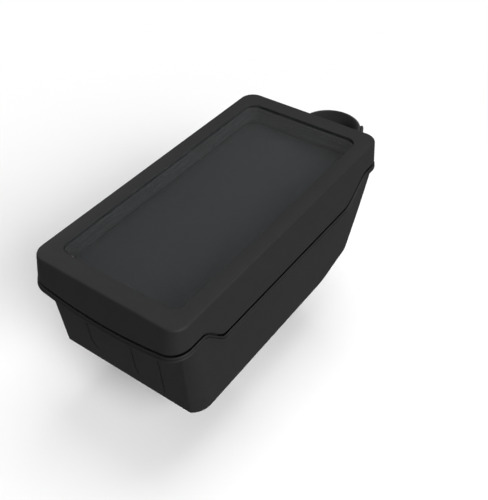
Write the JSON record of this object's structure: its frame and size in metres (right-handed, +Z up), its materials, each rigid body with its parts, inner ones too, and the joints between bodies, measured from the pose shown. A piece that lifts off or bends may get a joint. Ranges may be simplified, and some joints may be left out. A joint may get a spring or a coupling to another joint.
{
  "type": "top tube frame bag",
  "caption": "Hard-shell bicycle top-tube bag with a clear phone window in its hinged lid, a concealed zip round the seam and three hook-and-loop straps.",
  "frame": {"origin": "underside of the rubber seat, where the bag lies on the top tube, below the centre of the lid", "axes": "+Z up, +Y the way the bicycle rides (the bag's hinged front end), +X to the rider's right"},
  "size_m": [0.1038, 0.2322, 0.1113],
  "materials": {
    "shell": "matte laminated fabric over moulded foam",
    "fabric": "woven",
    "film": "clear film",
    "coil": "satin",
    "metal": "satin",
    "rubber": "matte"
  },
  "bodies": {
    "base": {"base_shell": "shell", "tube_seat_pad": "rubber", "strap_keeper_rear": "fabric", "strap_keeper_front": "fabric", "tube_strap_rear": "fabric", "tube_strap_front": "fabric", "steerer_keeper": "fabric", "steerer_strap": "fabric", "hinge_tape_lower": "fabric", "zip_tape_lower": "fabric", "zip_coil_lower": "coil", "zip_stop_left": "metal", "zip_stop_right": "metal"},
    "lid": {"lid_shell": "shell", "window_film": "film", "film_binding": "fabric", "pocket_gusset": "fabric", "pocket_backing": "fabric", "pocket_closing_tab": "fabric", "hinge_tape_upper": "fabric", "zip_tape_upper": "fabric", "zip_coil_upper": "coil"},
    "slider": {"zip_slider": "metal"},
    "puller": {"zip_puller": "rubber"}
  },
  "joints": [
    {"name": "lid_hinge", "type": "hinge", "parent": "base", "child": "lid", "pos_m": [0, 0.09313, 0.058], "axis": [-1, 0, 0], "range_deg": [0, 100]},
    {"name": "zip_slide", "type": "slide", "parent": "base", "child": "slider", "axis": [0, -1, 0], "range_m": [0, 0.098]},
    {"name": "pull_swing", "type": "hinge", "parent": "slider", "child": "puller", "pos_m": [-0.05268, 0.04175, 0.0466], "axis": [0, 1, 0], "range_deg": [-8, 170]}
  ]
}
